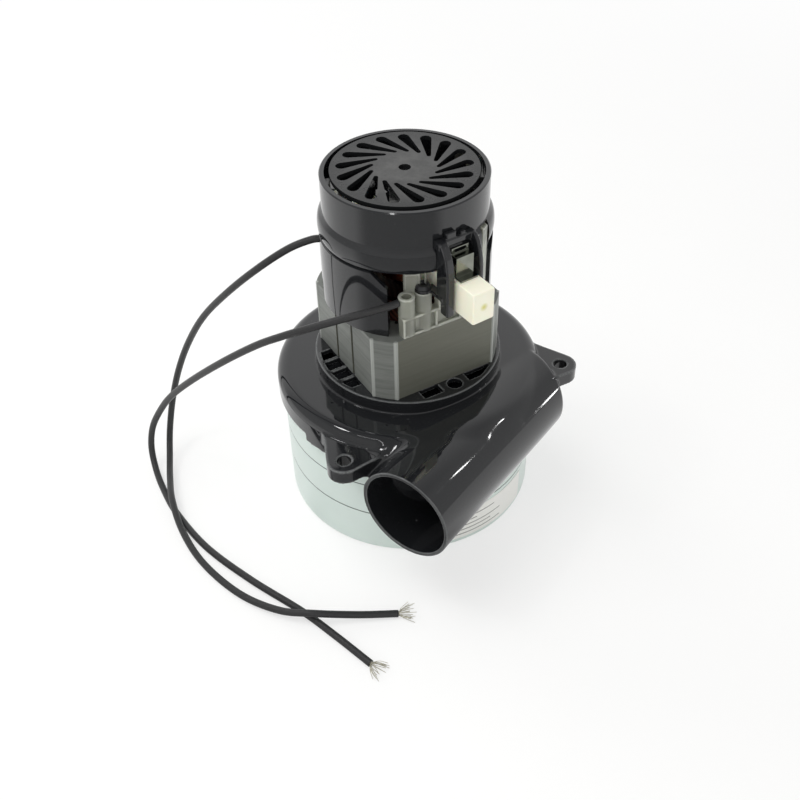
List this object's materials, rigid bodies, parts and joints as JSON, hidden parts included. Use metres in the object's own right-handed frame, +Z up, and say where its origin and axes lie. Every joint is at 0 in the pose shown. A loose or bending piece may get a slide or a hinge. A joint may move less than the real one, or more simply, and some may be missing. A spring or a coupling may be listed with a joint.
{
  "type": "vacuum motor unit",
  "caption": "Bypass vacuum motor with a stacked steel fan case, a tangential discharge horn, an exposed stator, brush gear and a vent fan in a black shell.",
  "frame": {"origin": "motor axis at the bottom of the fan case, the centre of the air inlet", "axes": "+Z up the shaft, the discharge horn blows towards -Y"},
  "size_m": [0.2233, 0.217, 0.2068],
  "materials": {
    "painted_case": "pale grey-green satin paint",
    "sheet_steel": "rolled sheet",
    "label_paper": "matte white, blank",
    "black_moulding": "glossy moulding",
    "machined_steel": "ground",
    "lamination_steel": "stacked punched sheets",
    "copper_winding": "varnished copper",
    "natural_nylon": "translucent moulding",
    "black_screw": "blackened",
    "cream_box": "cream moulding",
    "spring_strip": "rolled strip",
    "lead_cover": "matte black",
    "tinned_strand": "tinned",
    "carbon": "pressed carbon"
  },
  "bodies": {
    "motor_frame": {"fan_case_bottom": "painted_case", "fan_case_middle": "painted_case", "fan_case_top": "painted_case", "guide_disc_lower": "sheet_steel", "guide_disc_upper": "sheet_steel", "rating_label": "label_paper", "discharge_housing": "black_moulding", "upper_shell": "black_moulding", "brush_yoke_front": "black_moulding", "brush_yoke_rear": "black_moulding", "bearing_retainer": "machined_steel", "retainer_screws": "machined_steel", "lower_bearing_outer": "machined_steel", "through_bolts": "machined_steel", "upper_bearing_outer": "machined_steel", "preload_washer": "machined_steel", "stator_core": "lamination_steel", "field_coils": "copper_winding", "field_insulator_front": "natural_nylon", "field_insulator_rear": "natural_nylon", "yoke_screws": "black_screw", "brush_box_front": "cream_box", "brush_box_rear": "cream_box", "brush_clamp_front": "spring_strip", "brush_clamp_rear": "spring_strip", "lead_wire_left": "lead_cover", "lead_wire_right": "lead_cover", "lead_strands_left": "tinned_strand", "lead_strands_right": "tinned_strand"},
    "rotor": {"shaft": "machined_steel", "impeller_first": "sheet_steel", "impeller_second": "sheet_steel", "impeller_third": "sheet_steel", "impeller_spacers": "machined_steel", "impeller_nut": "machined_steel", "lower_bearing_inner": "machined_steel", "lower_bearing_balls": "machined_steel", "armature_core": "lamination_steel", "armature_winding": "copper_winding", "commutator": "copper_winding", "upper_bearing_inner": "machined_steel", "upper_bearing_balls": "machined_steel", "vent_fan": "black_moulding"},
    "brush_front": {"carbon_brush_front": "carbon", "brush_spring_front": "spring_strip"},
    "brush_rear": {"carbon_brush_rear": "carbon", "brush_spring_rear": "spring_strip"}
  },
  "joints": [
    {"name": "rotor_spin", "type": "hinge", "parent": "motor_frame", "child": "rotor", "pos_m": [0, 0, 0], "axis": [0, 0, 1], "continuous": true},
    {"name": "brush_front_slide", "type": "slide", "parent": "motor_frame", "child": "brush_front", "axis": [0.9397, -0.342, 0], "range_m": [0, 0.008], "stiffness_N_per_m": 200, "springref_m": -0.015},
    {"name": "brush_rear_slide", "type": "slide", "parent": "motor_frame", "child": "brush_rear", "axis": [-0.9397, 0.342, 0], "range_m": [0, 0.008], "stiffness_N_per_m": 200, "springref_m": -0.015}
  ]
}
